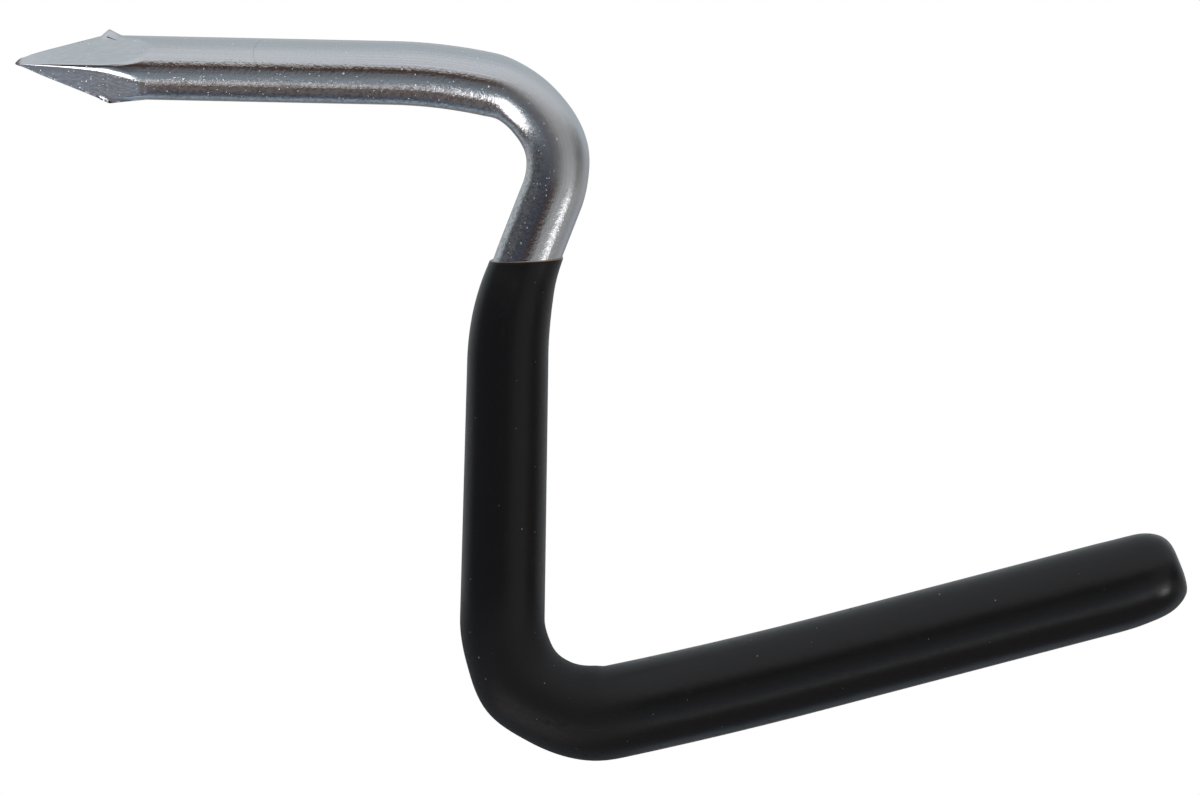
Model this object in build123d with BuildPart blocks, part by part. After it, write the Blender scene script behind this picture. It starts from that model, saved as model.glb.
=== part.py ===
from build123d import *
import os
from math import atan2, cos, degrees, radians, sin, sqrt, tan

os.makedirs("parts", exist_ok=True)

# Wire: quarter inch drawn steel
wire_diameter = 6.35
wire_radius = wire_diameter / 2

# Path of the wire's centre line in the XZ plane, from the shank to the arm's end
# The shank lies along X with its point towards -X, and its first bend starts at the origin
shank_length = 37.55
onset_radius = 50.4
onset_angle = 11.3
shoulder_radius = 8.38
shoulder_angle = 98.9
slope_length = 6.1
offset_radius = 30.3
leg_length = 25.7
heel_radius = 9.32
bow_radius = 433.0
bow_angle = 2.8
arm_rise = 15.85
arm_length = 35.65

# The leg hangs square to the shank, and the heel turns what the arm's rise and bow leave over
offset_angle = onset_angle + shoulder_angle - 90
heel_angle = 90 + arm_rise - bow_angle

# The wire draws thinner through the tight shoulder bend, by this much of its width in the bend's plane
shoulder_thinning = 0.38

# Point: four pinched facets that meet in ridges above, below and on both sides of a blunt tip
# Heights are over the shank's axis, and the facets run on until they leave the wire by this margin
tip_top = 0.69
tip_bottom = 0.03
tip_half_width = 0.32
side_ridge_height = 0.12
top_ridge_angle = 15.8
bottom_ridge_angle = 20.6
side_ridge_angle = 17.2
pinch_margin = 1.15

# Flash squeezed out of the pinch, in one leaf above the shank and one below it
# Toe, peak and heel are distances along the shank from where the ridge meets the wire's surface
flash_width = 1.0
flash_taper = 25.0
flash_root = 0.9
top_flash_toe = -0.3
top_flash_peak = 0.5
top_flash_heel = 1.9
top_flash_height = 0.6
bottom_flash_toe = 0.0
bottom_flash_peak = 1.35
bottom_flash_heel = 5.0
bottom_flash_height = 0.42

# The wire's end was sheared a little off square, its lower side longer, and its edge is tumbled
shear_angle = 6.5
sheared_edge_round = 0.5

# Dipped vinyl coat: its thickness from the lip to the closed end
lip_coat = 0.1
leg_top_coat = 0.87
leg_foot_coat = 1.04
arm_root_coat = 1.48
arm_coat = 1.4
end_coat = 1.35

# Level to which the hook was dipped: its distance down the offset bend, and its tilts
dip_depth = 0.3
dip_tilt_across = 3.0
dip_tilt_front = 7.0

# The lip is made from this far above the slope's end, and then cut at the dip level
lip_overrun = 2.4

# Growth of the coat down the lip: share of the lip's length, share of the leg's thickness
lip_growth = ((0.3, 0.24), (0.5, 0.58), (0.7, 0.83))

# Coat round the heel, where it sagged outwards as it set
# Share of the bend, and thickness inside the bend, outside it and to its sides
heel_coat = (
    (0, leg_foot_coat, leg_foot_coat, leg_foot_coat),
    (0.2, 1.13, 1.1, 1.08),
    (0.4, 1.08, 1.68, 1.2),
    (0.6, 1.29, 1.36, 1.28),
    (0.87, 1.6, 1.54, 1.45),
    (1, arm_root_coat, arm_root_coat, arm_root_coat),
)

# The coat narrows towards its closed end, which set a little above the arm's axis
end_narrowing_length = 4.0
end_narrowing = 0.95
end_lift = 0.55
end_round = 2.1


def square_to(path, place):
    """Plane square to a path at a share of its length, with its X across the hook."""
    return Plane(origin=path @ place, x_dir=(0, 1, 0), z_dir=path % place)


def sheared_plane(distance, lift):
    """Plane leaning with the shear, at a distance past the wire's end and a lift over the arm's axis."""
    lean = radians(arm_rise + shear_angle)
    upwards = (arm % 1).rotate(Axis.Y, -90)
    origin = arm @ 1 + (arm % 1) * distance + upwards * lift
    return Plane(origin=origin, x_dir=(0, 1, 0), z_dir=(cos(lean), 0, sin(lean)))


def ridge_corners(distance):
    """Corners of the pinched point, at a distance from its tip."""
    top = tip_top + distance * tan(radians(top_ridge_angle))
    bottom = tip_bottom - distance * tan(radians(bottom_ridge_angle))
    side = tip_half_width + distance * tan(radians(side_ridge_angle))
    return ((0, top), (-side, side_ridge_height), (0, bottom), (side, side_ridge_height))


def flash_corners(meeting, toe, peak, heel_end, height):
    """Corners of a leaf of flash over the shank, round the place where a ridge meets the wire."""
    root = wire_radius - flash_root
    return (
        (meeting + toe, root),
        (meeting + toe, wire_radius),
        (meeting + peak, wire_radius + height),
        (meeting + heel_end, wire_radius),
        (meeting + heel_end, root),
    )


# Centre line of the wire past the shank
with BuildLine(Plane.XZ) as centre_line:
    onset = JernArc((0, 0), (1, 0), onset_radius, -onset_angle)
    shoulder = JernArc(onset @ 1, onset % 1, shoulder_radius, -shoulder_angle)
    slope = Line(shoulder @ 1, shoulder @ 1 + (shoulder % 1) * slope_length)
    offset_bend = JernArc(slope @ 1, slope % 1, offset_radius, offset_angle)
    leg = Line(offset_bend @ 1, offset_bend @ 1 + (offset_bend % 1) * leg_length)
    heel = JernArc(leg @ 1, leg % 1, heel_radius, heel_angle)
    bow = JernArc(heel @ 1, heel % 1, bow_radius, bow_angle)
    arm = Line(bow @ 1, bow @ 1 + (bow % 1) * arm_length)

# The part of it below the shoulder, long enough for the sheared end to be cut from it
with BuildLine(Plane.XZ) as lower_line:
    add([slope, offset_bend, leg, heel, bow, arm])
    Line(arm @ 1, arm @ 1 + (arm % 1) * wire_diameter)

# The part of it that the coat's lip follows, from above the dip level to the leg
with BuildLine(Plane.XZ) as lip_line:
    Line(slope @ 1 - (slope % 1) * lip_overrun, slope @ 1)
    add(offset_bend)

# Steel hook
tip_x = -shank_length
shallowest_ridge = radians(min(top_ridge_angle, bottom_ridge_angle, side_ridge_angle))
pinch_length = pinch_margin * sqrt(2) * wire_radius / tan(shallowest_ridge)
top_meeting = tip_x + (wire_radius - tip_top) / tan(radians(top_ridge_angle))
bottom_meeting = tip_x + (wire_radius + tip_bottom) / tan(radians(bottom_ridge_angle))
top_flash = flash_corners(top_meeting, top_flash_toe, top_flash_peak, top_flash_heel, top_flash_height)
bottom_flash = flash_corners(
    bottom_meeting, bottom_flash_toe, bottom_flash_peak, bottom_flash_heel, bottom_flash_height)

with BuildPart() as steel_hook:
    # Pinched point
    with BuildSketch(Plane.YZ.offset(tip_x)):
        Circle(wire_radius)
    extrude(amount=pinch_length)
    for distance in (0, pinch_length):
        with BuildSketch(Plane.YZ.offset(tip_x + distance)):
            Polygon(*ridge_corners(distance), align=None)
    loft(ruled=True, mode=Mode.INTERSECT)

    # Shank
    with BuildSketch(Plane.YZ.offset(tip_x + pinch_length)):
        Circle(wire_radius)
    extrude(amount=shank_length - pinch_length)

    # Flash, with the lower leaf upside down
    for corners, upwards in ((top_flash, 1), (bottom_flash, -1)):
        with BuildSketch(Plane.XZ):
            Polygon(*[(x, z * upwards) for x, z in corners], align=None)
        extrude(amount=flash_width / 2, both=True, taper=flash_taper)

    # Shoulder bend, with its gentle onset
    with BuildSketch(square_to(onset, 0)):
        Circle(wire_radius)
    sweep(path=onset)
    for place, thinning in ((0, 0), (0.5, shoulder_thinning), (1, 0)):
        with BuildSketch(square_to(shoulder, place)):
            Ellipse(wire_radius, wire_radius - thinning / 2)
    sweep(path=shoulder, multisection=True)

    # Slope, leg, heel and arm
    with BuildSketch(square_to(slope, 0)):
        Circle(wire_radius)
    sweep(path=lower_line.wire())

    # Sheared end
    split(bisect_by=sheared_plane(0, 0), keep=Keep.BOTTOM)
    sheared_face = steel_hook.faces().sort_by(Axis.X)[-1]
    fillet(sheared_face.edges(), sheared_edge_round)

steel_hook.part.label = "steel_hook"
export_step(steel_hook.part, "parts/steel_hook.step")

# Vinyl coat
lip_path = lip_line.wire()
lip_gain = leg_top_coat - lip_coat
dip_slant = (-sin(radians(dip_tilt_across)), -sin(radians(dip_tilt_front)), 1)
dip_level = Plane(origin=offset_bend @ (dip_depth / offset_bend.length), x_dir=(1, 0, 0), z_dir=dip_slant)
leg_flare = degrees(atan2(leg_foot_coat - leg_top_coat, leg_length))
round_coat_length = arm_length + end_coat - end_narrowing_length

with BuildPart() as vinyl_coat:
    # Lip
    for place, growth in ((0, 0), *lip_growth, (1, 1)):
        with BuildSketch(square_to(lip_path, place)):
            Circle(wire_radius + lip_coat + growth * lip_gain)
    sweep(path=lip_path, multisection=True)
    split(bisect_by=dip_level, keep=Keep.BOTTOM)

    # Leg
    with BuildSketch(square_to(leg, 0)):
        Circle(wire_radius + leg_top_coat)
    extrude(amount=leg_length, taper=-leg_flare)

    # Heel
    for place, inside, outside, side in heel_coat:
        with BuildSketch(square_to(heel, place)):
            with Locations((0, (inside - outside) / 2)):
                Ellipse(wire_radius + side, wire_radius + (inside + outside) / 2)
    sweep(path=heel, multisection=True)

    # Bow
    for place, thickness in ((0, arm_root_coat), (1, arm_coat)):
        with BuildSketch(square_to(bow, place)):
            Circle(wire_radius + thickness)
    sweep(path=bow, multisection=True)

    # Arm, round until its end narrows
    with BuildSketch(square_to(arm, 0)):
        Circle(wire_radius + arm_coat)
    extrude(amount=round_coat_length)

    # Closed end
    with BuildSketch(square_to(arm, round_coat_length / arm_length)):
        Circle(wire_radius + arm_coat)
    with BuildSketch(sheared_plane(end_coat, end_lift)):
        Circle(wire_radius + arm_coat - end_narrowing)
    loft(ruled=True)
    end_face = vinyl_coat.faces().sort_by(Axis.X)[-1]
    fillet(end_face.edges(), end_round)

    # The wire fills the coat
    add(steel_hook.part, mode=Mode.SUBTRACT)

vinyl_coat.part.label = "vinyl_coat"
export_step(vinyl_coat.part, "parts/vinyl_coat.step")
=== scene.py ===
import math

import bpy
import numpy as np
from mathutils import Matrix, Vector


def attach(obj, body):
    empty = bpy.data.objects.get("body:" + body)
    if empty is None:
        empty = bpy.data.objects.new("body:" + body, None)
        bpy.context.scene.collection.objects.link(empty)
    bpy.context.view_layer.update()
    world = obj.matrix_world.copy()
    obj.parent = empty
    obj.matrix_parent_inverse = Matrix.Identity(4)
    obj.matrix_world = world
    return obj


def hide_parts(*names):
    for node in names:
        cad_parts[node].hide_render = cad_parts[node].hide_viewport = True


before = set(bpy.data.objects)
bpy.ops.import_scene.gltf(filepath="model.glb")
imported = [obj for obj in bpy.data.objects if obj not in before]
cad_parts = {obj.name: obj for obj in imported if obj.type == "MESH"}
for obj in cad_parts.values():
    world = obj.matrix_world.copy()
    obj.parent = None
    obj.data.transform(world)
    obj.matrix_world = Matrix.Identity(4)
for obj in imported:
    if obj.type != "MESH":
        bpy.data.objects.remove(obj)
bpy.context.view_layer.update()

MM = 0.001
MICRON = 0.000001

# Wire and its path in the XZ plane, with the values of the CAD part
WIRE_RADIUS = 3.175 * MM
SHANK_LENGTH = 37.55 * MM
ONSET_RADIUS = 50.4 * MM
ONSET_TURN = -11.3
SHOULDER_RADIUS = 8.38 * MM
SHOULDER_TURN = -98.9
SLOPE_LENGTH = 6.1 * MM
OFFSET_RADIUS = 30.3 * MM
LEG_LENGTH = 25.7 * MM
HEEL_RADIUS = 9.32 * MM
BOW_RADIUS = 433.0 * MM
BOW_TURN = 2.8
ARM_RISE = 15.85
ARM_LENGTH = 35.65 * MM
OFFSET_TURN = -(ONSET_TURN + SHOULDER_TURN + 90)
HEEL_TURN = 90 + ARM_RISE - BOW_TURN

# Coat: its thickness from the lip to the arm, and the tilted level to which the hook was dipped
LIP_COAT = 0.1 * MM
LEG_TOP_COAT = 0.87 * MM
LEG_FOOT_COAT = 1.04 * MM
ARM_ROOT_COAT = 1.48 * MM
ARM_COAT = 1.4 * MM
DIP_DEPTH = 0.3 * MM
DIP_TILT_ACROSS = 3.0
DIP_TILT_FRONT = 7.0
LIP_OVERRUN = 2.4 * MM

# Fineness of the meshes: points round each ring, and rings along each stretch in the order they are drawn
WIRE_POINTS = 176
TIP_RINGS = 9
POINT_RINGS = 122
SHANK_RINGS = 2
WIRE_RINGS = {"onset": 12, "shoulder": 48, "slope": 1, "offset": 16, "leg": 1, "heel": 24, "bow": 2}
SHEARED_END_RINGS = 2
COAT_POINTS = 128
BORE_RINGS = {"arm": 1, "bow": 2, "heel": 24, "leg": 1, "offset": 16}
LIP_RINGS = 6
OUTER_OFFSET_RINGS = 30
OUTER_LEG_RINGS = 2
OUTER_HEEL_RINGS = 40
OUTER_BOW_RINGS = 6
CLOSED_END_RINGS = 3

# Points nearer to each other than this are one
TOUCHING = 1e-7

# Edges sharper than these angles stay sharp
WIRE_SHARP = 30
COAT_SHARP = 50


class Stretch:
    """A straight or bent length of the wire's centre line. Seen from the front, a positive turn is to the left."""

    def __init__(self, start, heading, length, turn=0.0):
        self.start, self.heading, self.length, self.turn = start, heading, length, turn

    def heading_at(self, share):
        return self.heading + math.radians(self.turn) * share

    def at(self, share):
        if not self.turn:
            return self.start + forward(self.heading) * self.length * share
        side = self.bend_centre() - self.start
        turned = math.radians(self.turn) * share
        return self.bend_centre() - Vector((
            side.x * math.cos(turned) - side.z * math.sin(turned),
            0,
            side.x * math.sin(turned) + side.z * math.cos(turned),
        ))

    def bend_radius(self):
        """Radius of the bend, which is negative for a turn to the right."""
        return self.length / math.radians(self.turn)

    def bend_centre(self):
        return self.start + leftward(self.heading) * self.bend_radius()

    def nearest(self, points):
        """For points in rows: their nearest shares of the stretch, and how far off it they lie along it and up."""
        start = np.array(self.start)
        if self.turn:
            centre = np.array(self.bend_centre())
            arms, first = points - centre, start - centre
            turned = np.arctan2(
                first[0] * arms[:, 2] - first[2] * arms[:, 0], first[0] * arms[:, 0] + first[2] * arms[:, 2])
            shares = np.clip(turned / math.radians(self.turn), 0, 1)
            headings = self.heading + math.radians(self.turn) * shares
            to_left = np.stack((-np.sin(headings), 0 * headings, np.cos(headings)), 1)
            on_line = centre - self.bend_radius() * to_left
        else:
            ahead = np.array(forward(self.heading))
            shares = np.clip((points - start) @ ahead / self.length, 0, 1)
            headings = np.full(len(points), self.heading)
            on_line = start + np.outer(shares * self.length, ahead)
        away = points - on_line
        along = away[:, 0] * np.cos(headings) + away[:, 2] * np.sin(headings)
        up = -away[:, 0] * np.sin(headings) + away[:, 2] * np.cos(headings)
        return shares, along, up


def forward(heading):
    """Unit vector in the XZ plane at an angle over +X."""
    return Vector((math.cos(heading), 0, math.sin(heading)))


def leftward(heading):
    """Unit vector a quarter turn to the left of a heading."""
    return Vector((-math.sin(heading), 0, math.cos(heading)))


def lay_out_path():
    """The wire's stretches, each starting where the last one ends."""
    plan = (
        ("onset", ONSET_RADIUS, ONSET_TURN),
        ("shoulder", SHOULDER_RADIUS, SHOULDER_TURN),
        ("slope", SLOPE_LENGTH, 0),
        ("offset", OFFSET_RADIUS, OFFSET_TURN),
        ("leg", LEG_LENGTH, 0),
        ("heel", HEEL_RADIUS, HEEL_TURN),
        ("bow", BOW_RADIUS, BOW_TURN),
        ("arm", ARM_LENGTH, 0),
    )
    stretches = {"shank": Stretch(Vector((-SHANK_LENGTH, 0, 0)), 0.0, SHANK_LENGTH)}
    place, heading = Vector((0, 0, 0)), 0.0
    for name, size, turn in plan:
        length = size * abs(math.radians(turn)) if turn else size
        stretches[name] = Stretch(place, heading, length, turn)
        place, heading = stretches[name].at(1), stretches[name].heading_at(1)
    return stretches


PATH = lay_out_path()


def places_on_wire(piece):
    """Where each vertex lies on the straight wire, in rows: distance along it, across it and up."""
    points = np.empty(len(piece.data.vertices) * 3)
    piece.data.vertices.foreach_get("co", points)
    points = points.reshape(-1, 3)
    places = np.full_like(points, np.inf)
    nearest = np.full(len(points), np.inf)
    run = 0.0
    for stretch in PATH.values():
        shares, along, up = stretch.nearest(points)
        away = along ** 2 + up ** 2
        closer = away < nearest
        nearest[closer] = away[closer]
        found = np.stack((run + shares * stretch.length + along, points[:, 1], up), 1)
        places[closer] = found[closer]
        run += stretch.length
    return places


def start_ring(name, points, place, heading, radius):
    """Adds a ring square to a heading, closed with a face, and leaves it selected in edit mode."""
    bpy.ops.object.select_all(action="DESELECT")
    bpy.ops.mesh.primitive_circle_add(
        vertices=points, radius=radius, location=place, rotation=(0, math.pi / 2 - heading, 0))
    piece = bpy.context.object
    piece.name = name
    bpy.ops.object.mode_set(mode="EDIT")
    bpy.ops.mesh.select_all(action="SELECT")
    bpy.ops.mesh.edge_face_add()
    bpy.ops.mesh.select_all(action="SELECT")
    return piece


def draw_out(stretch, rings, section=None, start=0.0, end=1.0):
    """Runs the selected ring along a stretch. A section gives its half height, half width and outward offset."""
    for i in range(rings):
        before = start + (end - start) * i / rings
        after = start + (end - start) * (i + 1) / rings
        if stretch.turn:
            bpy.ops.mesh.spin(
                steps=1, angle=math.radians(stretch.turn) * (after - before),
                center=stretch.bend_centre(), axis=(0, 1, 0))
        else:
            move = stretch.at(after) - stretch.at(before)
            bpy.ops.mesh.extrude_region_move(TRANSFORM_OT_translate={"value": move})
        if section:
            reshape_ring(stretch, section(before), section(after), after)


def reshape_ring(stretch, old, new, share):
    """Brings the selected ring at a share of a stretch from its old section to its new one."""
    (height, width, offset), (next_height, next_width, next_offset) = old, new
    outward = leftward(stretch.heading_at(share)) * (-1 if stretch.turn >= 0 else 1)
    centre = stretch.at(share) + outward * offset
    grow = next_height / height
    bpy.ops.transform.resize(value=(grow, next_width / width, grow), center_override=centre)
    bpy.ops.transform.translate(value=outward * (next_offset - offset))


def smooth(knots, share):
    """Value at a share on a smooth curve through knots of (share, value)."""
    for i in range(len(knots) - 2, -1, -1):
        if share >= knots[i][0] or i == 0:
            break
    (x0, y0), (x1, y1) = knots[i], knots[i + 1]
    before = knots[i - 1] if i else (2 * x0 - x1, y0)
    after = knots[i + 2] if i + 2 < len(knots) else (2 * x1 - x0, y1)
    width = x1 - x0
    slope0 = (y1 - before[1]) / (x1 - before[0]) * width
    slope1 = (after[1] - y0) / (after[0] - x0) * width
    t = min(max((share - x0) / width, 0), 1)
    return (y0 * (2 * t ** 3 - 3 * t ** 2 + 1) + slope0 * (t ** 3 - 2 * t ** 2 + t)
            + y1 * (3 * t ** 2 - 2 * t ** 3) + slope1 * (t ** 3 - t ** 2))


def draw_rounded_end(stretch, sections, rings, radius):
    """Draws the selected ring out through an end: distance, half height and rise in mm, and lean in degrees."""
    along, up = forward(stretch.heading), leftward(stretch.heading)
    columns = [[(i, section[column]) for i, section in enumerate(sections)] for column in range(4)]
    last = (0.0, radius / MM, 0.0, 0.0)
    for i in range((len(sections) - 1) * rings + 1):
        out, half, rise, lean = (smooth(column, i / rings) for column in columns)
        move = (along * (out - last[0]) + up * (rise - last[2])) * MM
        bpy.ops.mesh.extrude_region_move(TRANSFORM_OT_translate={"value": move})
        centre = stretch.start + (along * out + up * rise) * MM
        grow = half / last[1]
        bpy.ops.transform.resize(value=(grow, grow, grow), center_override=centre)
        bpy.ops.transform.rotate(value=math.radians(lean - last[3]), orient_axis="Y", center_override=centre)
        last = (out, half, rise, lean)


def finish_piece(piece, material):
    """Puts a piece's place in its mesh, points its faces outwards and gives it its material."""
    bpy.ops.object.mode_set(mode="OBJECT")
    select_only(piece)
    bpy.ops.object.transform_apply(location=True, rotation=True, scale=True)
    bpy.ops.object.mode_set(mode="EDIT")
    bpy.ops.mesh.select_all(action="SELECT")
    bpy.ops.mesh.remove_doubles(threshold=TOUCHING)
    bpy.ops.mesh.normals_make_consistent(inside=False)
    bpy.ops.object.mode_set(mode="OBJECT")
    piece.data.materials.clear()
    piece.data.materials.append(material)


def select_only(piece):
    bpy.ops.object.select_all(action="DESELECT")
    piece.select_set(True)
    bpy.context.view_layer.objects.active = piece


def shade(piece, angle):
    """Shades a piece smooth, apart from edges sharper than an angle."""
    select_only(piece)
    bpy.ops.object.shade_smooth_by_angle(angle=math.radians(angle))


def map_surface(piece):
    """Keeps each point's place on the straight wire, in mm, for the finishes."""
    places = piece.data.attributes.new("on_wire", "FLOAT_VECTOR", "POINT")
    places.data.foreach_set("vector", (places_on_wire(piece) / MM).ravel())


# Steel

# Pinched point, as the dies left it, in mm. Each knot has its distance from the tip first.
# Heights and widths are from the shank's axis
POINT_LENGTH = 15.0
TIP_LENGTH = 0.36
TOP_RIDGE = ((0, 0.69), (3, 1.54), (6, 2.39), (9, 3.24), (11, 3.8), (12.2, 4.14), (13.3, 4.5), (14.5, 5.2))
SIDE_WIDTH = ((0, 0.32), (3, 1.25), (6, 2.17), (9, 2.93), (11, 3.16), (12.2, 3.32), (13.3, 3.75), (14.5, 4.6))
SIDE_TOP = ((0, 0.1), (3, 0.08), (6, 0.06), (9, 0.08), (11, 0.25), (12.2, 0.42), (13.3, 0.6), (14.5, 0.8))
LOWER_WIDTH = (
    (0, 0.32), (2.8, 1.12), (6.6, 2.25), (9.25, 2.76), (10.95, 2.86), (12.46, 2.75), (13.15, 2.52), (14.5, 3.0))
LOWER_TOP = (
    (0, 0.08), (2.8, -0.05), (6.6, -0.265), (9.25, -0.606), (10.95, -1.07), (12.46, -1.6), (13.15, -1.95),
    (14.5, -2.6))
BOTTOM_RIDGE = (
    (0, 0.03), (2.8, -1.02), (6.6, -2.45), (9.25, -3.45), (10.95, -3.95), (12.4, -4.25), (13.15, -4.45),
    (14.5, -5.2))

# The rays that find the point's surface start from this height at the tip, and from the axis past its run
TIP_MIDDLE = 0.3
TIP_MIDDLE_RUN = 6.0

# Strip between the side ridge and the lower facet: where it runs out, and its lean from upright in degrees
STRIP_LENGTH = 12.5
STRIP_LEAN = ((0, 20), (6, 24), (9, 26), (12.5, 29), (15, 34))

# How far the edges are rounded over
RIDGE_ROUND = ((0, 0.03), (2, 0.05), (9, 0.07), (15, 0.1))
SIDE_ROUND = ((0, 0.03), (2, 0.08), (6, 0.14), (9, 0.17), (12, 0.2), (15, 0.15))
STRIP_ROUND = ((0, 0.02), (3, 0.06), (6, 0.12), (9, 0.2), (11, 0.12), (12.5, 0.05), (15, 0.05))

# Blunt tip: its face leans back above its lower edge, and its own edge is worn round
TIP_LEAN = 0.76
TIP_LEAN_RUN = 1.5
TIP_LEAN_FOOT = 0.1
TIP_WEAR = ((0, 0.45), (0.06, 0.74), (0.15, 0.9), (0.3, 1.0), (1, 1.0))

# Burrs thrown up where the ridges meet the shank: distance and height of toe, peak and heel, and half width
TOP_BURR = ((8.55, 0.0), (9.35, 0.6), (10.6, 0.0))
BOTTOM_BURR = ((8.4, 0.0), (9.5, 0.45), (13.2, 0.0))
TOP_BURR_HALF_WIDTH = 0.5
BOTTOM_BURR_HALF_WIDTH = 0.26

# Below these a ray runs along a line, or straight up, and the point's last ring is this near its end
PARALLEL = 1e-9
UPRIGHT = 1e-6
LAST_RING = 1e-3

# Tight bend: change of the wire's half height in mm, and its drift outwards, at shares of the bend
SHOULDER_FLATTENING = (
    (0, 0), (0.14, -0.15), (0.25, -0.165), (0.39, -0.14), (0.58, -0.07), (0.7, -0.03), (0.85, -0.04), (1, 0))
SHOULDER_DRIFT = (
    (0, 0), (0.14, -0.02), (0.25, -0.06), (0.39, -0.07), (0.5, 0.02), (0.6, 0.12), (0.7, 0.15), (0.85, 0.04),
    (1, 0))

# Sheared end, under the coat: distance along the arm, half height, rise over its axis, and lean
SHEARED_END = (
    (34.6, 3.175, 0, 0),
    (35.15, 3.175, 0, 6.5),
    (35.4, 3.11, 0, 6.5),
    (35.57, 2.95, 0, 6.5),
    (35.65, 2.675, 0, 6.5),
)


def softest(a, b, blend):
    """The smaller of two lengths, rounded over where they are within a blend of each other."""
    share = max(blend - abs(a - b), 0) / blend
    return min(a, b) - share * share * blend / 4


def reach(middle, direction, first, second):
    """How far a ray in the YZ plane runs before it meets the line through two points."""
    normal = (second[1] - first[1], first[0] - second[0])
    towards = normal[0] * direction[0] + normal[1] * direction[1]
    if abs(towards) < PARALLEL:
        return math.inf
    found = (normal[0] * first[0] + normal[1] * (first[1] - middle)) / towards
    return found if found > 0 else math.inf


def point_section(distance, angle):
    """Place across and up, in mm, of the point's surface at a distance from the tip and an angle."""
    wire_radius = WIRE_RADIUS / MM
    middle = TIP_MIDDLE * max(0, 1 - distance / TIP_MIDDLE_RUN)
    across, up = abs(math.cos(angle)), math.sin(angle)
    top, side, side_top, bottom, lower_width, lower_top, strip_lean, ridge_round, side_round, strip_round = (
        smooth(knots, distance) for knots in (
            TOP_RIDGE, SIDE_WIDTH, SIDE_TOP, BOTTOM_RIDGE, LOWER_WIDTH, LOWER_TOP, STRIP_LEAN, RIDGE_ROUND,
            SIDE_ROUND, STRIP_ROUND))

    # The strip leans out from the lower facet's edge, and moves clear of the wire where it runs out
    lean = math.radians(strip_lean)
    past_strip = max(distance - STRIP_LENGTH, 0)
    strip_foot = (lower_width + past_strip, lower_top)
    strip_top = (lower_width + math.sin(lean) + past_strip, lower_top + math.cos(lean))

    found = -middle * up + math.sqrt(wire_radius ** 2 - (middle * across) ** 2)
    if across > UPRIGHT:
        found = softest(found, side / across, side_round)
    for away in (1, -1):
        ray = (across * away, up)
        found = softest(found, reach(middle, ray, (0, top), (side, side_top)), side_round)
        found = softest(found, reach(middle, ray, strip_foot, strip_top), strip_round)
        found = softest(found, reach(middle, ray, (0, bottom), (lower_width, lower_top)), ridge_round)
    found *= smooth(TIP_WEAR, distance)
    return math.cos(angle) * found, middle + up * found


def burr_height(burr, half_width, distance, across):
    """Height of a burr over the wire, which rises and falls straight along it and is round across it."""
    (toe, _), (peak, height), (heel, _) = burr
    if not toe < distance < heel or across > half_width:
        return 0
    along = (distance - toe) / (peak - toe) if distance < peak else (heel - distance) / (heel - peak)
    return height * along * (1 - (across / half_width) ** 2)


def press_point(wire):
    """Moves the rings of the shank's end in to the faces of the dies."""
    for vertex in wire.data.vertices:
        distance = (vertex.co.x + SHANK_LENGTH) / MM
        if distance > POINT_LENGTH - LAST_RING:
            continue
        angle = math.atan2(vertex.co.z, vertex.co.y)
        across, up = point_section(distance, angle)
        lean = TIP_LEAN * max(up - TIP_LEAN_FOOT, 0) * max(1 - distance / TIP_LEAN_RUN, 0)
        if lean:
            across = point_section(distance + lean, angle)[0]
        burr = (TOP_BURR, TOP_BURR_HALF_WIDTH) if up > 0 else (BOTTOM_BURR, BOTTOM_BURR_HALF_WIDTH)
        up += math.copysign(burr_height(*burr, distance, abs(across)), up)
        vertex.co = (-SHANK_LENGTH + (distance + lean) * MM, across * MM, up * MM)


def shoulder_section(share):
    """The wire through the tight bend, drawn thinner at first and drifting outwards after."""
    height = WIRE_RADIUS + smooth(SHOULDER_FLATTENING, share) * MM
    return height, WIRE_RADIUS, smooth(SHOULDER_DRIFT, share) * MM


def make_wire(material):
    """The steel, drawn out from its tip to its sheared end and then pinched to its point."""
    shank = PATH["shank"]
    wire = start_ring("bent_wire", WIRE_POINTS, shank.start, shank.heading, WIRE_RADIUS)
    tip_share, point_share = (length * MM / shank.length for length in (TIP_LENGTH, POINT_LENGTH))
    draw_out(shank, TIP_RINGS, end=tip_share)
    draw_out(shank, POINT_RINGS, start=tip_share, end=point_share)
    draw_out(shank, SHANK_RINGS, start=point_share)
    for name, rings in WIRE_RINGS.items():
        draw_out(PATH[name], rings, shoulder_section if name == "shoulder" else None)
    draw_rounded_end(PATH["arm"], SHEARED_END, SHEARED_END_RINGS, WIRE_RADIUS)
    bpy.ops.mesh.edge_face_add()
    finish_piece(wire, material)
    press_point(wire)
    shade(wire, WIRE_SHARP)
    map_surface(wire)
    return wire


# Coat

# Lip: its growth to the leg's thickness, and its edge, which is rounded from a thin toe
LIP_KNOTS = ((0, 0), (0.3, 0.24), (0.5, 0.58), (0.7, 0.83), (1, 1))
LIP_ZONE = 6.5 * MM
LIP_ROUND = 0.22 * MM
LIP_TOE = 0.012 * MM

# Sag round the heel: thickness inside the bend, outside it and to its sides, at shares of it
HEEL_INSIDE = (
    (0, LEG_FOOT_COAT), (0.2, 1.13 * MM), (0.4, 1.08 * MM), (0.6, 1.29 * MM), (0.87, 1.6 * MM), (1, ARM_ROOT_COAT))
HEEL_OUTSIDE = (
    (0, LEG_FOOT_COAT), (0.2, 1.1 * MM), (0.4, 1.68 * MM), (0.6, 1.36 * MM), (0.87, 1.54 * MM), (1, ARM_ROOT_COAT))
HEEL_SIDE = (
    (0, LEG_FOOT_COAT), (0.2, 1.08 * MM), (0.4, 1.2 * MM), (0.6, 1.28 * MM), (0.87, 1.45 * MM), (1, ARM_ROOT_COAT))

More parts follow.
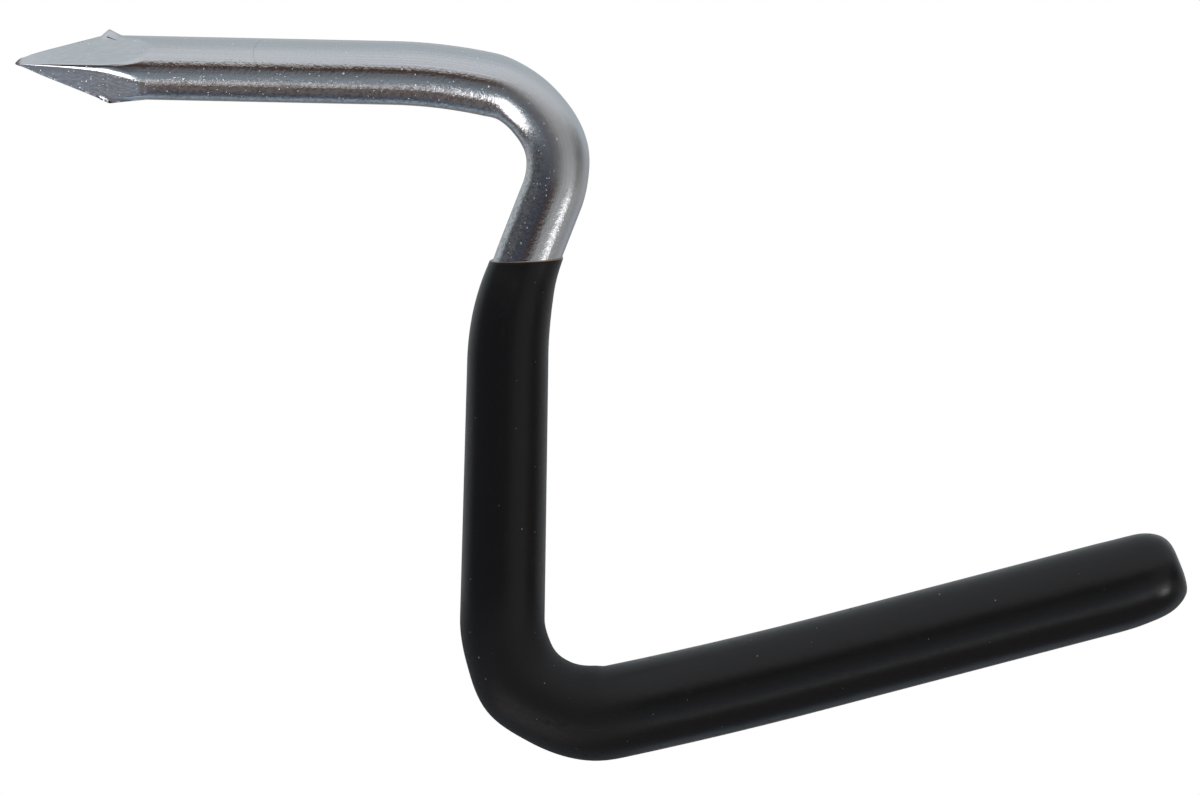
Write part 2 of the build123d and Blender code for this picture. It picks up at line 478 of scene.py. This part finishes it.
# Closed end, from the arm's last round ring to its pole: distance along the arm, half height,
# rise of the middle over the arm's axis, and lean with the wire's sheared end
CLOSED_END = (
    (29.3, 4.56, 0.0, 0.0),
    (31.0, 4.52, 0.01, 0.0),
    (32.5, 4.44, 0.08, 0.0),
    (33.7, 4.33, 0.14, 0.0),
    (34.6, 4.13, 0.15, 0.0),
    (35.3, 3.86, 0.15, 0.2),
    (35.83, 3.54, 0.15, 0.5),
    (36.24, 3.18, 0.12, 1.0),
    (36.54, 2.80, 0.08, 1.8),
    (36.76, 2.38, 0.02, 2.9),
    (36.90, 1.83, -0.02, 4.0),
    (36.98, 1.15, -0.04, 5.3),
    (37.02, 0.5, -0.05, 6.5),
)


def lip_thickness(past_slope):
    """Thickness of the coat at a distance past the slope's end, over the lip."""
    whole = LIP_OVERRUN + PATH["offset"].length
    gain = smooth(LIP_KNOTS, min(max((LIP_OVERRUN + past_slope) / whole, 0), 1))
    return LIP_COAT + gain * (LEG_TOP_COAT - LIP_COAT)


def tapered(start_coat, end_coat):
    """A round section whose coat grows evenly."""
    def section(share):
        radius = WIRE_RADIUS + start_coat + (end_coat - start_coat) * share
        return radius, radius, 0.0

    return section


def heel_section(share):
    """The sagged coat round the heel."""
    inside, outside, side = (smooth(knots, share) for knots in (HEEL_INSIDE, HEEL_OUTSIDE, HEEL_SIDE))
    return WIRE_RADIUS + (inside + outside) / 2, WIRE_RADIUS + side, (outside - inside) / 2


def shape_lip(coat):
    """Brings the lip to the tilted level of the dip, rounds its edge and lets the coat grow below it.

    Each point's distance below the lip, in mm, is kept for the finish.
    """
    slope, offset = PATH["slope"], PATH["offset"]
    slope_end = sum(PATH[name].length for name in ("shank", "onset", "shoulder", "slope"))
    upright = Vector((-math.sin(math.radians(DIP_TILT_ACROSS)), -math.sin(math.radians(DIP_TILT_FRONT)), 1))
    lip_heading = offset.heading_at(DIP_DEPTH / offset.length)
    fall = upright.dot(forward(lip_heading))
    from_lip = [LIP_ZONE / MM] * len(coat.data.vertices)
    for i, (distance, across, up) in enumerate(places_on_wire(coat)):
        past = distance - slope_end
        if not 0 < past < offset.length + TOUCHING:
            continue
        angle = math.atan2(up, across)
        in_bore = math.hypot(up, across) < WIRE_RADIUS + LIP_TOE / 2
        below_lip = past - DIP_DEPTH
        from_lip[i] = max(below_lip, 0) / MM

        # Slide the point along the wire to the tilted level, less and less down the lip
        outward = leftward(lip_heading) * math.sin(angle) + Vector((0, math.cos(angle), 0))
        shift = -upright.dot(outward * (WIRE_RADIUS + LIP_COAT)) / fall
        past += shift * max(1 - below_lip / LIP_ZONE, 0) ** 2

        # Give it its thickness there
        rounding = min(max(below_lip, 0) / LIP_ROUND, 1)
        rounded = (lip_thickness(past) - LIP_TOE) * math.sqrt(rounding * (2 - rounding))
        coat_here = 0 if in_bore else LIP_TOE + rounded
        stretch, share = (offset, past / offset.length) if past > 0 else (slope, 1 + past / slope.length)
        outward = leftward(stretch.heading_at(share)) * math.sin(angle) + Vector((0, math.cos(angle), 0))
        coat.data.vertices[i].co = stretch.at(share) + outward * (WIRE_RADIUS + coat_here)
    coat.data.attributes.new("from_lip", "FLOAT", "POINT").data.foreach_set("value", from_lip)


def make_coat(material):
    """The coat in one skin, from its bore's blind end back to the lip, and then down the outside."""
    offset, leg, heel, bow, arm = (PATH[name] for name in ("offset", "leg", "heel", "bow", "arm"))
    lip_share = DIP_DEPTH / offset.length
    round_share = lip_share + LIP_ROUND / offset.length

    # Bore, from its blind end back to the lip
    coat = start_ring("dipped_coat", COAT_POINTS, arm.at(1), arm.heading, WIRE_RADIUS)
    for name, rings in BORE_RINGS.items():
        draw_out(PATH[name], rings, start=1, end=lip_share if name == "offset" else 0)

    # Out over the lip, and down the outside
    bpy.ops.mesh.extrude_region_move(TRANSFORM_OT_translate={"value": (0, 0, 0)})
    toe, top = WIRE_RADIUS + LIP_TOE, WIRE_RADIUS + LEG_TOP_COAT
    reshape_ring(offset, (WIRE_RADIUS, WIRE_RADIUS, 0), (toe, toe, 0), lip_share)
    draw_out(offset, LIP_RINGS, start=lip_share, end=round_share)
    draw_out(offset, OUTER_OFFSET_RINGS, start=round_share)
    reshape_ring(offset, (toe, toe, 0), (top, top, 0), 1)
    draw_out(leg, OUTER_LEG_RINGS, tapered(LEG_TOP_COAT, LEG_FOOT_COAT))
    draw_out(heel, OUTER_HEEL_RINGS, heel_section)
    draw_out(bow, OUTER_BOW_RINGS, tapered(ARM_ROOT_COAT, ARM_COAT))
    draw_rounded_end(arm, CLOSED_END, CLOSED_END_RINGS, WIRE_RADIUS + ARM_COAT)
    bpy.ops.mesh.merge(type="CENTER")
    finish_piece(coat, material)
    shape_lip(coat)
    shade(coat, COAT_SHARP)
    map_surface(coat)
    return coat


# Finishes

class Shader:
    """Short ways to build a node tree."""

    def __init__(self, owner):
        owner.use_nodes = True
        self.nodes, self.links = owner.node_tree.nodes, owner.node_tree.links

    def feed(self, socket, value):
        if isinstance(value, bpy.types.NodeSocket):
            self.links.new(value, socket)
        elif isinstance(value, tuple) and len(value) == 3 and len(socket.default_value) == 4:
            socket.default_value = (*value, 1)
        else:
            socket.default_value = value

    def node(self, kind, inputs=None, **settings):
        made = self.nodes.new("ShaderNode" + kind)
        for name, value in settings.items():
            setattr(made, name, value)
        for name, value in (inputs or {}).items():
            self.feed(made.inputs[name], value)
        return made

    def parts(self, vector):
        """The X, Y and Z of a vector."""
        return self.node("SeparateXYZ", {0: vector}).outputs

    def math(self, operation, *values):
        made = self.node("Math", operation=operation)
        for socket, value in zip(made.inputs, values):
            self.feed(socket, value)
        return made.outputs[0]

    def add(self, *values):
        total = values[0]
        for value in values[1:]:
            total = self.math("ADD", total, value)
        return total

    def minus(self, first, second):
        return self.math("SUBTRACT", first, second)

    def times(self, *values):
        product = values[0]
        for value in values[1:]:
            product = self.math("MULTIPLY", product, value)
        return product

    def length(self, long, wide):
        """Length of a line that runs this far along and across."""
        return self.math("SQRT", self.add(self.times(long, long), self.times(wide, wide)))

    def ramp(self, value, low, high, start=0.0, end=1.0):
        """Goes softly from start to end as a value goes from low to high."""
        return self.node("MapRange", {
            "Value": value, "From Min": low, "From Max": high, "To Min": start, "To Max": end},
            interpolation_type="SMOOTHSTEP").outputs["Result"]

    def fall(self, value, low, high):
        return self.ramp(value, low, high, 1.0, 0.0)

    def band(self, value, first, last):
        """1 between two soft edges, each given from where there is nothing to where there is all."""
        return self.times(self.ramp(value, *first), self.ramp(value, *last))

    def mix(self, factor, first, second):
        made = self.node("Mix", data_type="RGBA")
        for index, value in ((0, factor), (6, first), (7, second)):
            self.feed(made.inputs[index], value)
        return made.outputs[2]

    def noise(self, place, scale, detail=2.0, roughness=0.5, stretch=None):
        if stretch:
            place = self.node("VectorMath", {0: place, 1: stretch}, operation="MULTIPLY").outputs[0]
        return self.node("TexNoise", {
            "Vector": place, "Scale": scale, "Detail": detail, "Roughness": roughness}).outputs["Fac"]

    def dots(self, place, spacing, size, chance):
        """Round dots, one to a cell, in only some of the cells."""
        cells = self.node("TexVoronoi", {"Vector": place, "Scale": 1 / spacing})
        near = self.fall(cells.outputs["Distance"], size / spacing * 0.5, size / spacing)
        pick = self.node("SeparateColor", {0: cells.outputs["Color"]}).outputs[0]
        return self.times(near, self.math("LESS_THAN", pick, chance))

    def stroke(self, along, up, start, end, half_width, soft):
        """A short straight mark between two places on the wire, tapering to its end."""
        run, rise = end[0] - start[0], end[1] - start[1]
        out, over = self.minus(along, start[0]), self.minus(up, start[1])
        share = self.times(self.add(self.times(out, run), self.times(over, rise)), 1 / (run * run + rise * rise))
        share = self.math("MINIMUM", self.math("MAXIMUM", share, 0.0), 1.0)
        away = self.length(self.minus(out, self.times(share, run)), self.minus(over, self.times(share, rise)))
        away = self.add(away, self.times(share, half_width))
        return self.fall(away, half_width - soft, half_width + soft)

    def bumps(self, *layers):
        """Unevenness laid on in turn: each layer's pattern, and its depth in microns."""
        normal = None
        for pattern, depth in layers:
            inputs = {"Height": pattern, "Distance": depth * MICRON, "Strength": 1.0}
            if normal is not None:
                inputs["Normal"] = normal
            normal = self.node("Bump", inputs).outputs["Normal"]
        return normal


# Colours of the steel and its marks, and of the shade, shadow, reflection and highlights painted on it
DRAWN_ZINC = (0.60, 0.61, 0.63)
BRIGHT_ZINC = (0.65, 0.66, 0.68)
DULL_GRAIN = (0.3, 0.3, 0.31)
BROWN_PITS = (0.24, 0.2, 0.18)
# Pale blue painted reflection over the pressed marks of the point's lower faces
PRESSED_BLUE_REFLECTION = (0.86, 0.94, 1.0)
# White of the specks and glints: painted highlights
SPECK_AND_GLINT_WHITE = (0.95, 0.96, 0.98)
BROWN_ARC = (0.3, 0.2, 0.15)
DARK_NICKS = (0.15, 0.13, 0.12)
# Bright nicks on the lower ridge, partly painted highlights
BRIGHT_NICKS_AND_HIGHLIGHTS = (0.95, 0.95, 0.96)
# Painted shadow in the slit under the top burr's lip
SLIT_SHADOW = (0.05, 0.045, 0.045)
TORN_GREY = (0.07, 0.07, 0.075)
# Painted shade under the side ridge
RIDGE_SHADE_BROWN = (0.13, 0.075, 0.045)
# Darker colour for the tip
DARKENED_TIP = (0.1, 0.075, 0.06)

# Where the steel's finish changes, in mm from the tip or over the wire's axis.
# Each pair goes from where there is nothing of it to where there is all
PRESSED_BELOW = (-0.2, -0.9)
IN_BEND = ((44.5, 51.5), (63.5, 58.5))
PITTED_BELOW = (-0.9, -1.6)
PITTED_FROM = (13.0, 15.0)
TOP_NICKS = ((5.6, 6.0), (7.2, 6.8))
# Bright nicks and painted highlights along the lower ridge
BOTTOM_NICKS_AND_HIGHLIGHTS = ((1.2, 1.6), (9.8, 9.3))
TORN_BURR = ((8.0, 8.4), (10.2, 9.6))
# Painted shade under the side ridge: its band over the ridge's line, and where it ends
SHADE_UNDER_RIDGE = ((-0.16, -0.1), (0.06, 0.0))
SHADE_UNDER_RIDGE_END = (11.5, 9.5)

# Where the point's smooth upper faces and its rough lower ones run out into the drawn shank
POINT_EDGE = (12.0, 13.4)

# Heights of the top and bottom ridges at the tip, and their rise for each mm
TOP_RIDGE_LINE = (0.69, 0.283)
BOTTOM_RIDGE_LINE = (0.03, -0.376)

# Painted shadow in the slit under the top burr's lip, from its wide end
SLIT_SHADOW_START = (9.21, 2.955)
SLIT_SHADOW_END = (10.3, 2.6)
SLIT_SHADOW_HALF_WIDTH = 0.07
SLIT_SHADOW_SOFTNESS = 0.02

# Fine arc left by the die's edge, of which only the part on the tip's side of the stop shows
ARC_MIDDLE = (-12.1 * MM, 1.62 * MM)
ARC_RADIUS = 1.65 * MM
ARC_LINE = (0.03 * MM, 0.08 * MM)
ARC_STOP = -13 * MM


def make_steel():
    """Bright zinc plate over drawn wire, and die-pressed at the point."""
    material = bpy.data.materials.new("zinc_plate")
    tree = Shader(material)
    shader = tree.nodes["Principled BSDF"]
    place = tree.node("Attribute", attribute_name="on_wire").outputs["Vector"]
    along, across, up = tree.parts(place)
    x, _, z = tree.parts(tree.node("TexCoord").outputs["Object"])
    front = tree.math("LESS_THAN", across, 0.0)

    # Marks of drawing, and the fine unevenness of the plate
    draw_lines = tree.noise(place, 1.0, detail=3, roughness=0.6, stretch=(0.035, 6.0, 6.0))
    fine_lines = tree.noise(place, 1.0, stretch=(0.12, 16.0, 16.0))
    peel = tree.noise(place, 2.6, roughness=0.55)
    grain = tree.noise(place, 9.0, roughness=0.6)
    # Raised specks, whose white colour is a painted highlight
    specks = tree.dots(place, spacing=0.8, size=0.11, chance=0.3)

    # Pressed faces of the point: smooth above the side ridges, and rougher below them, where their colour is
    # lightened by a pale blue painted reflection over the pressed marks
    on_point = tree.fall(along, *POINT_EDGE)
    pressed = tree.times(on_point, tree.ramp(up, *PRESSED_BELOW))
    press_marks = tree.noise(place, 1.0, detail=3, roughness=0.6, stretch=(1.6, 5.0, 5.0))

    # Haze through the tight bend, most where its outside was stretched
    in_bend = tree.band(along, *IN_BEND)
    hazy = tree.times(in_bend, tree.ramp(up, -2.2, 0.6, 0.18, 1.0))
    unevenness = tree.minus(1.0, tree.add(tree.times(on_point, 0.75), tree.times(in_bend, 0.55)))

    # Pitted underside, and white glints painted mostly on it
    pitted = tree.times(tree.ramp(up, *PITTED_BELOW), tree.ramp(along, *PITTED_FROM))
    pits = tree.ramp(tree.noise(place, 2.6, detail=3, roughness=0.7), 0.42, 0.62)
    glints = tree.times(
        tree.dots(place, spacing=0.42, size=0.07, chance=0.45), tree.ramp(up, 0.6, -0.6, 0.25, 1.0))

    # Painted shadow in the slit under the top burr's lip, and the die's arc on the upper face
    slit_shadow = tree.times(front, tree.stroke(along, up, SLIT_SHADOW_START, SLIT_SHADOW_END, SLIT_SHADOW_HALF_WIDTH, SLIT_SHADOW_SOFTNESS))
    from_middle = tree.length(tree.minus(x, ARC_MIDDLE[0]), tree.minus(z, ARC_MIDDLE[1]))
    arc = tree.fall(tree.math("ABSOLUTE", tree.minus(from_middle, ARC_RADIUS)), *ARC_LINE)
    arc = tree.times(arc, front, tree.math("LESS_THAN", x, ARC_STOP))

    # Nicks along the ridges: dark above, and bright below, where they are partly painted highlights on the lower
    # ridge
    nicks = tree.ramp(tree.noise(place, 1.0, roughness=0.6, stretch=(4.0, 0.5, 0.5)), 0.52, 0.6)
    over_top_ridge, over_bottom_ridge = (
        tree.minus(up, tree.add(height, tree.times(along, rise)))
        for height, rise in (TOP_RIDGE_LINE, BOTTOM_RIDGE_LINE))
    top_nicks = tree.times(nicks, tree.ramp(over_top_ridge, -0.2, -0.1), tree.band(along, *TOP_NICKS))
    bottom_nicks_and_highlights = tree.times(nicks, tree.ramp(over_bottom_ridge, 0.25, 0.15), tree.band(along, *BOTTOM_NICKS_AND_HIGHLIGHTS))

    # Torn lower burr, dull between its bright nicks and painted highlights
    torn = tree.times(tree.ramp(over_bottom_ridge, 0.24, 0.1), tree.band(along, *TORN_BURR))
    torn = tree.times(torn, tree.ramp(tree.noise(place, 4.0, roughness=0.6), 0.62, 0.5))

    # Painted shade: a dark line just under the side ridge, which climbs with it
    over_line = tree.minus(up, tree.ramp(along, 8.5, 12.0, 0.06, 0.3))
    shade_under_ridge = tree.times(
        tree.band(over_line, *SHADE_UNDER_RIDGE), tree.ramp(along, *SHADE_UNDER_RIDGE_END),
        tree.ramp(along, 2.0, 5.0, 0.25, 1.0))

    # Tip, its colour darkened
    tip = tree.fall(tree.add(along, tree.times(grain, 0.4)), 0.45, 1.0)

    # Colour, with each mark and each painted shade, shadow, reflection and highlight laid on at its strength
    colour = tree.mix(tree.ramp(draw_lines, 0.35, 0.65), DRAWN_ZINC, BRIGHT_ZINC)
    for mark, strength, paint in (
        (tree.times(tree.fall(grain, 0.3, 0.7), unevenness), 0.2, DULL_GRAIN),
        (tree.times(pits, pitted), 0.55, BROWN_PITS),
        # Pale blue painted reflection on the point's lower faces
        (tree.times(pressed, tree.ramp(press_marks, 0.35, 0.65)), 1.0, PRESSED_BLUE_REFLECTION),
        # Specks and glints, painted white as highlights
        (tree.add(specks, glints), 0.6, SPECK_AND_GLINT_WHITE),
        (arc, 0.25, BROWN_ARC),
        (top_nicks, 0.6, DARK_NICKS),
        # Bright nicks, partly painted highlights on the lower ridge
        (bottom_nicks_and_highlights, 0.7, BRIGHT_NICKS_AND_HIGHLIGHTS),
        # Painted shadow in the slit under the top burr's lip
        (slit_shadow, 0.9, SLIT_SHADOW),
        (torn, 0.95, TORN_GREY),
        # Painted shade under the side ridge
        (shade_under_ridge, 0.8, RIDGE_SHADE_BROWN),
        (tip, 0.85, DARKENED_TIP),
    ):
        colour = tree.mix(tree.times(mark, strength), colour, paint)

    tree.feed(shader.inputs["Base Color"], colour)
    tree.feed(shader.inputs["Roughness"], tree.add(
        tree.ramp(peel, 0.3, 0.7, 0.09, 0.13), tree.times(hazy, 0.26), tree.times(bottom_nicks_and_highlights, 0.4)))
    tree.feed(shader.inputs["Normal"], tree.bumps(
        (draw_lines, 6),
        (fine_lines, 4),
        (tree.times(peel, unevenness), 26),
        (tree.times(grain, unevenness), 11),
        (tree.add(specks, glints), 20),
        (tree.times(pressed, press_marks), 12),
    ))
    shader.inputs["Metallic"].default_value = 1.0
    return material


# Colours of the vinyl, its dust and its lip's edge
BLACK_VINYL = (0.0066, 0.006, 0.0066)
PALE_DUST = (0.4, 0.39, 0.38)
LIP_BROWN = (0.42, 0.25, 0.15)

# Brown edge of the lip, in mm below it, and the duller heel, in mm along the wire from the tip
LIP_EDGE = (0.03, 0.13)
DULL_HEEL = ((100, 108), (126, 117))


def make_vinyl():
    """Dipped black vinyl with a satin gloss, a few specks of dust and light scuffs."""
    material = bpy.data.materials.new("black_vinyl")
    tree = Shader(material)
    shader = tree.nodes["Principled BSDF"]
    place = tree.node("Attribute", attribute_name="on_wire").outputs["Vector"]
    from_lip = tree.node("Attribute", attribute_name="from_lip").outputs["Fac"]
    along = tree.parts(place)[0]

    sag = tree.noise(place, 0.35)
    pebble = tree.noise(place, 3.2, roughness=0.55)
    scuffs = tree.ramp(tree.noise(place, 0.8, detail=3, roughness=0.65), 0.58, 0.7)
    dust = tree.add(
        tree.dots(place, spacing=1.7, size=0.1, chance=0.45),
        tree.dots(place, spacing=0.95, size=0.06, chance=0.3))

    # Dust, and the thin brown edge of the lip
    colour = tree.mix(tree.times(dust, 0.42), BLACK_VINYL, PALE_DUST)
    colour = tree.mix(tree.times(tree.fall(from_lip, *LIP_EDGE), 0.8), colour, LIP_BROWN)
    tree.feed(shader.inputs["Base Color"], colour)

    # Duller round the heel, where the coat sagged
    dull = tree.times(tree.band(along, *DULL_HEEL), 0.27)
    tree.feed(shader.inputs["Roughness"], tree.add(
        tree.ramp(pebble, 0.3, 0.7, 0.28, 0.33), tree.times(scuffs, 0.08), dull))
    tree.feed(shader.inputs["Normal"], tree.bumps((sag, 50), (pebble, 2.5), (dust, 20)))
    shader.inputs["Specular IOR Level"].default_value = 0.3
    return material


# Camera: the photograph's view along +Y, from far off with a long lens
CAMERA_DISTANCE = 1200 * MM
CAMERA_AIM = Vector((21.38 * MM, 0, -31.85 * MM))
CAMERA_ROLL = -1.21
CAMERA_SIGHT = 20
PICTURE_WIDTH = 119.4 * MM


def make_camera():
    """A camera that looks straight at the hook's front."""
    place = CAMERA_AIM - Vector((0, CAMERA_DISTANCE, 0))
    bpy.ops.object.camera_add(location=place, rotation=(math.pi / 2, math.radians(CAMERA_ROLL), 0))
    camera = bpy.context.object
    camera.data.lens = camera.data.sensor_width * CAMERA_DISTANCE / PICTURE_WIDTH
    camera.data.clip_end = CAMERA_SIGHT
    bpy.context.scene.camera = camera


# Studio round the hook, as the bare steel mirrors it
# Places are in degrees from the camera's side: across to the right, and up

PALE_ROOF = (0.78, 0.81, 0.84)
COOL_ROOF = (0.58, 0.64, 0.67)
WARM_EDGE = (0.44, 0.34, 0.27)
MIDDLE = (0.125, 0.135, 0.155)
FRONT_FLOOR = (0.275, 0.314, 0.35)
WARM_FLOOR = (0.2, 0.17, 0.162)
DARK_FLOOR = (0.115, 0.13, 0.16)
GREY_FLOOR = (0.25, 0.265, 0.3)
DARK_BAND = (0.06, 0.066, 0.088)
BROWN_BAND = (0.075, 0.038, 0.024)
BLUE_SHEEN = (0.6, 0.68, 0.8)
FAR_LEFT = (0.13, 0.14, 0.155)
RIGHT_FLAG = (0.1, 0.098, 0.09)
RIGHT_WALL = (0.455, 0.45, 0.435)
LOW_BACKDROP = (0.37, 0.45, 0.52)
SIDE_BACKDROP = (0.46, 0.46, 0.47)
PALE_BACKDROP = (0.8, 0.82, 0.84)
BACK_BAND = (0.22, 0.23, 0.25)
LOW_BACK = (0.2, 0.19, 0.185)
WHITE = (1.0, 1.0, 1.0)
THIN_LAMP = (1.05, 1.05, 1.03)
THIN_LAMP_END = (2.2, 2.2, 2.2)
KEY_LAMP = (3.8, 3.8, 3.9)
END_LAMP = (11.0, 11.2, 11.5)

# Front of the room over its darkest floor: colour, and the heights between which it takes over
FRONT_LEVELS = (
    (WARM_FLOOR, -98, -86),
    (FRONT_FLOOR, -54, -44),
    (MIDDLE, -32, -6),
)

# Soft ovals of light and shade: colour, place, half length and half width, softness, and tilt
FRONT_OVALS = (
    (FAR_LEFT, (-75, 10), (38, 42), 0.4, 0),
    (RIGHT_WALL, (60, -8), (50, 36), 0.45, 0),
    (DARK_BAND, (-26, 9), (36, 8), 0.35, -9),
    (BROWN_BAND, (0, 8.0), (15, 8.5), 0.55, 0),
    (BLUE_SHEEN, (27, -33), (15, 16), 0.5, -10),
    (GREY_FLOOR, (-36, -95), (18, 13), 0.5, 0),
    (RIGHT_FLAG, (82, 6), (20, 16), 0.35, 0),
)
LAMP_OVALS = (
    (KEY_LAMP, (-40, -55), (30, 17), 0.18, 25),
    (END_LAMP, (52, -40), (9, 5), 0.25, 29),
)

# Roof's edge: its height straight ahead, its rise for each degree to the side, and its warm and pale parts
ROOF_EDGE = 16.5
ROOF_EDGE_RISE = 0.33
ROOF_WARM = (-6, 3)
ROOF_PALE = (-2, 7)
ROOF_COOL = (55, 110)

# Backdrop: turn from straight ahead at which each part of it takes over, and the heights of its low part
LOW_DOWN = (-25, -85)
BACKDROP_COOL = (-20, 50)
RIM_TURN = (98, 118)
RIM_DIP = 11.0
LOW_BACK_TURN = (132, 150)
BACK_TURN = (150, 172)
BACK_BAND_EDGE = (0.1, 0.5)

# Long thin lamp: place and tilt of its line, half width, widening for each degree, and its soft edges
THIN_LAMP_PLACE = (0, -53.5)
THIN_LAMP_TILT = 29
THIN_LAMP_HALF_WIDTH = 3.2
THIN_LAMP_WIDENING = 0.06
THIN_LAMP_SIDES = (-3.5, 4.0)
THIN_LAMP_LENGTH = ((-14, -4), (76, 66))
THIN_LAMP_BRIGHTENS = (0, 50)

# Keeps the places straight ahead and straight behind from being divided by nothing
SMALL_EXCESS = 0.0001


def make_studio():
    """Lights the hook from the world round it, of which the camera sees plain white only."""
    world = bpy.data.worlds.new("studio")
    bpy.context.scene.world = world
    tree = Shader(world)
    x, y, z = tree.parts(tree.node("TexCoord").outputs["Generated"])
    turn = tree.times(tree.math("ARCCOSINE", tree.times(y, -1.0)), math.degrees(1))
    spread = tree.math("SQRT", tree.minus(1 + SMALL_EXCESS, tree.times(y, y)))
    scale = tree.math("DIVIDE", turn, spread)
    right, up = tree.times(x, scale), tree.times(z, scale)

    def turned_to(place, tilt):
        """Distances along and across a line through a place."""
        out, over = tree.minus(right, place[0]), tree.minus(up, place[1])
        run, rise = math.cos(math.radians(tilt)), math.sin(math.radians(tilt))
        return (
            tree.add(tree.times(out, run), tree.times(over, rise)),
            tree.add(tree.times(out, -rise), tree.times(over, run)))

    def lay_ovals(colour, ovals):
        """Lays soft ovals of light and shade over a colour."""
        for lit, place, size, softness, tilt in ovals:
            long, wide = turned_to(place, tilt)
            away = tree.length(tree.times(long, 1 / size[0]), tree.times(wide, 1 / size[1]))
            colour = tree.mix(tree.fall(away, 1 - softness, 1 + softness), colour, lit)
        return colour

    # Front of the room, from the floor up
    colour = DARK_FLOOR
    for lit, low, high in FRONT_LEVELS:
        colour = tree.mix(tree.ramp(up, low, high), colour, lit)
    colour = lay_ovals(colour, FRONT_OVALS)

    # Roof, with a warm edge
    edge = tree.add(ROOF_EDGE, tree.times(tree.math("ABSOLUTE", right), ROOF_EDGE_RISE))
    over_edge = tree.minus(up, edge)
    roof = tree.mix(tree.ramp(up, *ROOF_COOL), PALE_ROOF, COOL_ROOF)
    colour = tree.mix(tree.ramp(over_edge, *ROOF_WARM), colour, WARM_EDGE)
    colour = tree.mix(tree.ramp(over_edge, *ROOF_PALE), colour, roof)

    # Backdrop all round the rim, nearer at the sides, with a band behind
    low = tree.ramp(up, *LOW_DOWN)
    backdrop = tree.mix(tree.ramp(up, *BACKDROP_COOL), tree.mix(low, SIDE_BACKDROP, LOW_BACKDROP), COOL_ROOF)
    rim = tree.minus(turn, tree.times(low, RIM_DIP))
    colour = tree.mix(tree.ramp(rim, *RIM_TURN), colour, backdrop)
    colour = tree.mix(tree.times(low, tree.ramp(turn, *LOW_BACK_TURN)), colour, LOW_BACK)
    behind = tree.mix(tree.ramp(tree.math("ABSOLUTE", z), *BACK_BAND_EDGE), BACK_BAND, PALE_BACKDROP)
    colour = tree.mix(tree.ramp(turn, *BACK_TURN), colour, behind)

    # Long thin lamp low in front
    long, wide = turned_to(THIN_LAMP_PLACE, THIN_LAMP_TILT)
    half = tree.add(THIN_LAMP_HALF_WIDTH, tree.times(tree.math("MAXIMUM", long, 0.0), THIN_LAMP_WIDENING))
    on_lamp = tree.times(
        tree.fall(tree.minus(tree.math("ABSOLUTE", wide), half), *THIN_LAMP_SIDES),
        tree.band(long, *THIN_LAMP_LENGTH))
    colour = tree.mix(on_lamp, colour, tree.mix(tree.ramp(long, *THIN_LAMP_BRIGHTENS), THIN_LAMP, THIN_LAMP_END))

    # Key lamp low on the left, and a small lamp low on the right for the coat's end
    colour = lay_ovals(colour, LAMP_OVALS)

    # The camera sees a plain white backdrop behind the hook
    seen = tree.node("LightPath").outputs["Is Camera Ray"]
    tree.feed(tree.nodes["Background"].inputs["Color"], tree.mix(seen, colour, WHITE))


# Floor well below the hook, and the shares of its radius between which it fades away
FLOOR_COLOUR = (0.86, 0.86, 0.86)
FLOOR_ROUGHNESS = 0.9
FLOOR_LEVEL = -120 * MM
FLOOR_RADIUS = 900 * MM
FLOOR_POINTS = 64
FLOOR_FADE = (0.35, 0.95)

# Broad lamp over the hook
ROOF_LAMP_PLACE = (0.0, -50 * MM, 500 * MM)
ROOF_LAMP_WIDTH = 220 * MM
ROOF_LAMP_POWER = 2.0


def make_floor():
    """A pale floor, which fades into the white round it and isn't mirrored in the steel or seen from below."""
    bpy.ops.mesh.primitive_circle_add(
        vertices=FLOOR_POINTS, radius=FLOOR_RADIUS, fill_type="NGON", location=(CAMERA_AIM.x, 0, FLOOR_LEVEL))
    floor = bpy.context.object
    floor.name = "floor"
    floor.visible_glossy = False
    material = bpy.data.materials.new("pale_floor")
    tree = Shader(material)
    shader = tree.nodes["Principled BSDF"]
    place = tree.node("TexCoord").outputs["Object"]
    away = tree.node("VectorMath", {0: place}, operation="LENGTH").outputs["Value"]
    seen = tree.fall(away, *(FLOOR_RADIUS * share for share in FLOOR_FADE))
    from_above = tree.minus(1.0, tree.node("NewGeometry").outputs["Backfacing"])
    tree.feed(shader.inputs["Base Color"], FLOOR_COLOUR)
    tree.feed(shader.inputs["Roughness"], FLOOR_ROUGHNESS)
    tree.feed(shader.inputs["Alpha"], tree.times(seen, from_above))
    floor.data.materials.append(material)


def make_roof_lamp():
    """A broad lamp that lights dull surfaces only, so that the steel mirrors nothing but the studio."""
    bpy.ops.object.light_add(type="AREA", location=ROOF_LAMP_PLACE, rotation=(0, 0, 0))
    lamp = bpy.context.object
    lamp.name = "roof_lamp"
    lamp.data.size = ROOF_LAMP_WIDTH
    lamp.data.energy = ROOF_LAMP_POWER
    lamp.visible_glossy = False
    lamp.visible_camera = False


wire = make_wire(make_steel())
coat = make_coat(make_vinyl())
for piece, node, slot_name in ((wire, "steel_hook", "zinc_plated_steel"), (coat, "vinyl_coat", "black_vinyl")):
    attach(piece, "root")
    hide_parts(node)

make_camera()
make_studio()
make_floor()
make_roof_lamp()
bpy.context.scene.view_settings.view_transform = "Standard"
